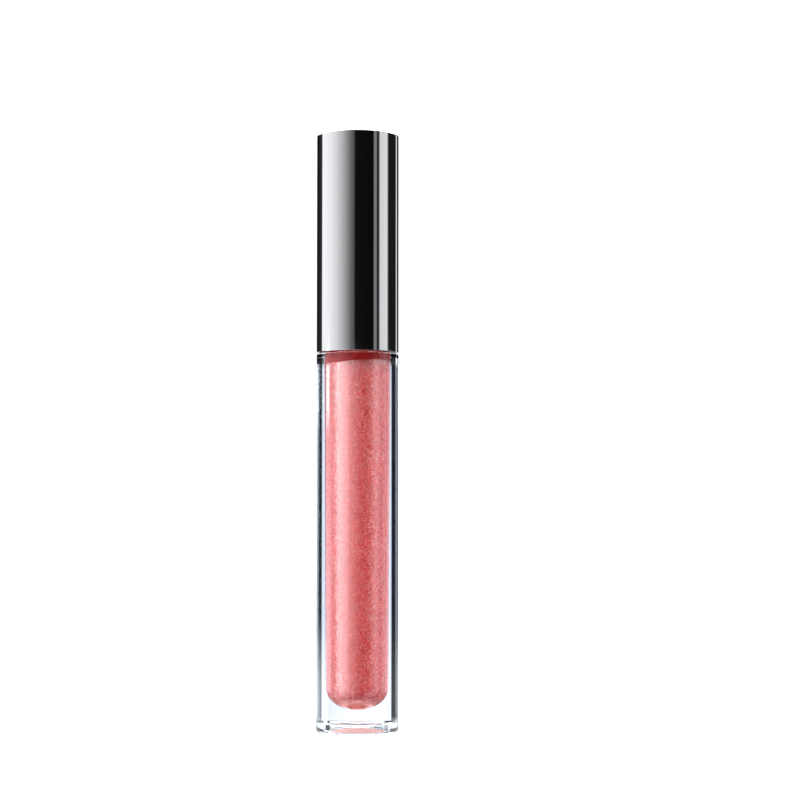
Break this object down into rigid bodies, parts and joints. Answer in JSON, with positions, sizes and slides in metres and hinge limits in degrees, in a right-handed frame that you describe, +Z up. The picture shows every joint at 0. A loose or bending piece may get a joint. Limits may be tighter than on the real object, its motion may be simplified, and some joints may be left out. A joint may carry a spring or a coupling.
{
  "type": "lip gloss tube",
  "caption": "Slim round clear heavy-wall tube of tinted gloss, with a tall mirror-finish screw cap that carries a wand and a flocked applicator.",
  "frame": {"origin": "centre of the tube's base, on the plane it stands on", "axes": "+Z up the tube's axis to the cap; -Y is the front; +X is to the right seen from the front"},
  "size_m": [0.0164, 0.0164, 0.1192],
  "materials": {
    "clear_wall": "polished",
    "wiper_plastic": "satin",
    "pearl_gloss": "gloss",
    "label": "matte",
    "washer_foam": "matte",
    "steel": "satin",
    "mirror_shell": "polished",
    "liner_plastic": "satin",
    "wand_plastic": "satin",
    "tip_elastomer": "matte",
    "flocking": "matte"
  },
  "bodies": {
    "tube": {"bottle": "clear_wall", "wiper": "wiper_plastic", "gloss": "pearl_gloss", "base_label": "label"},
    "washer": {"seal_washer": "washer_foam"},
    "weight": {"cap_weight": "steel"},
    "cap": {"cap_shell": "mirror_shell", "inner_cap": "liner_plastic", "wand_stem": "wand_plastic", "tip_core": "tip_elastomer", "tip_flock": "flocking"}
  },
  "joints": [
    {"name": "cap_lift", "type": "slide", "parent": "tube", "child": "washer", "axis": [0, 0, 1], "range_m": [0, 0.084]},
    {"name": "thread_rise", "type": "slide", "parent": "washer", "child": "weight", "axis": [0, 0, 1], "range_m": [0, 0.003]},
    {"name": "cap_unscrew", "type": "hinge", "parent": "weight", "child": "cap", "pos_m": [0, 0, 0.0753], "axis": [0, 0, 1], "range_deg": [0, 540]}
  ],
  "couplings": [
    {"joint": "thread_rise", "follows": "cap_unscrew", "m_per_rad": 0.00031831}
  ]
}
